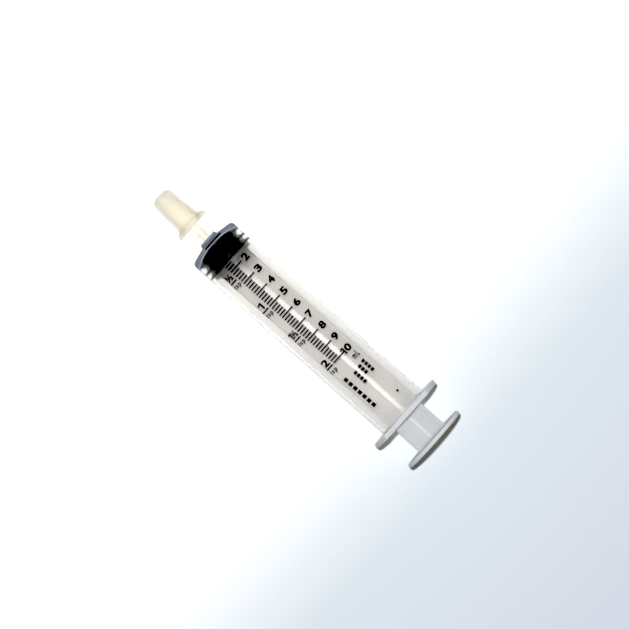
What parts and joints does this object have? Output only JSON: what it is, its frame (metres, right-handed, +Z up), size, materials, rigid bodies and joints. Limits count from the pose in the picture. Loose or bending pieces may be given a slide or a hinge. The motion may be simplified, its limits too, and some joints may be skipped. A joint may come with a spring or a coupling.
{
  "type": "oral syringe",
  "caption": "Oral syringe with a clear barrel, finger flange, black rubber stopper, natural plunger rod with round thumb rest, and a tip cap.",
  "frame": {"origin": "centre of the bounding box's bottom: under the middle of the syringe's length, on the surface that the thumb rest's rim lies on", "axes": "+X along the syringe's axis, towards the thumb rest; +Y across, along the long way of the finger flange; +Z up, out of the printed side"},
  "size_m": [0.112, 0.0264, 0.0222],
  "materials": {
    "clear_polypropylene": "clear, polished mould",
    "black_rubber": "smooth, siliconed",
    "natural_polypropylene": "translucent, satin mould",
    "natural_polyethylene": "translucent cream, satin mould"
  },
  "bodies": {
    "barrel": {"barrel": "clear_polypropylene"},
    "stopper": {"plunger_stopper": "black_rubber"},
    "rod": {"plunger_rod": "natural_polypropylene"},
    "cap": {"tip_cap": "natural_polyethylene"}
  },
  "joints": [
    {"name": "plunger_slide", "type": "slide", "parent": "barrel", "child": "stopper", "axis": [1, 0, 0], "range_m": [-0.0006, 0.0698]},
    {"name": "rod_turn", "type": "hinge", "parent": "stopper", "child": "rod", "pos_m": [0, 0, 0.0111], "axis": [1, 0, 0], "continuous": true},
    {"name": "cap_pull", "type": "slide", "parent": "barrel", "child": "cap", "axis": [-1, 0, 0], "range_m": [0, 0.018]}
  ]
}
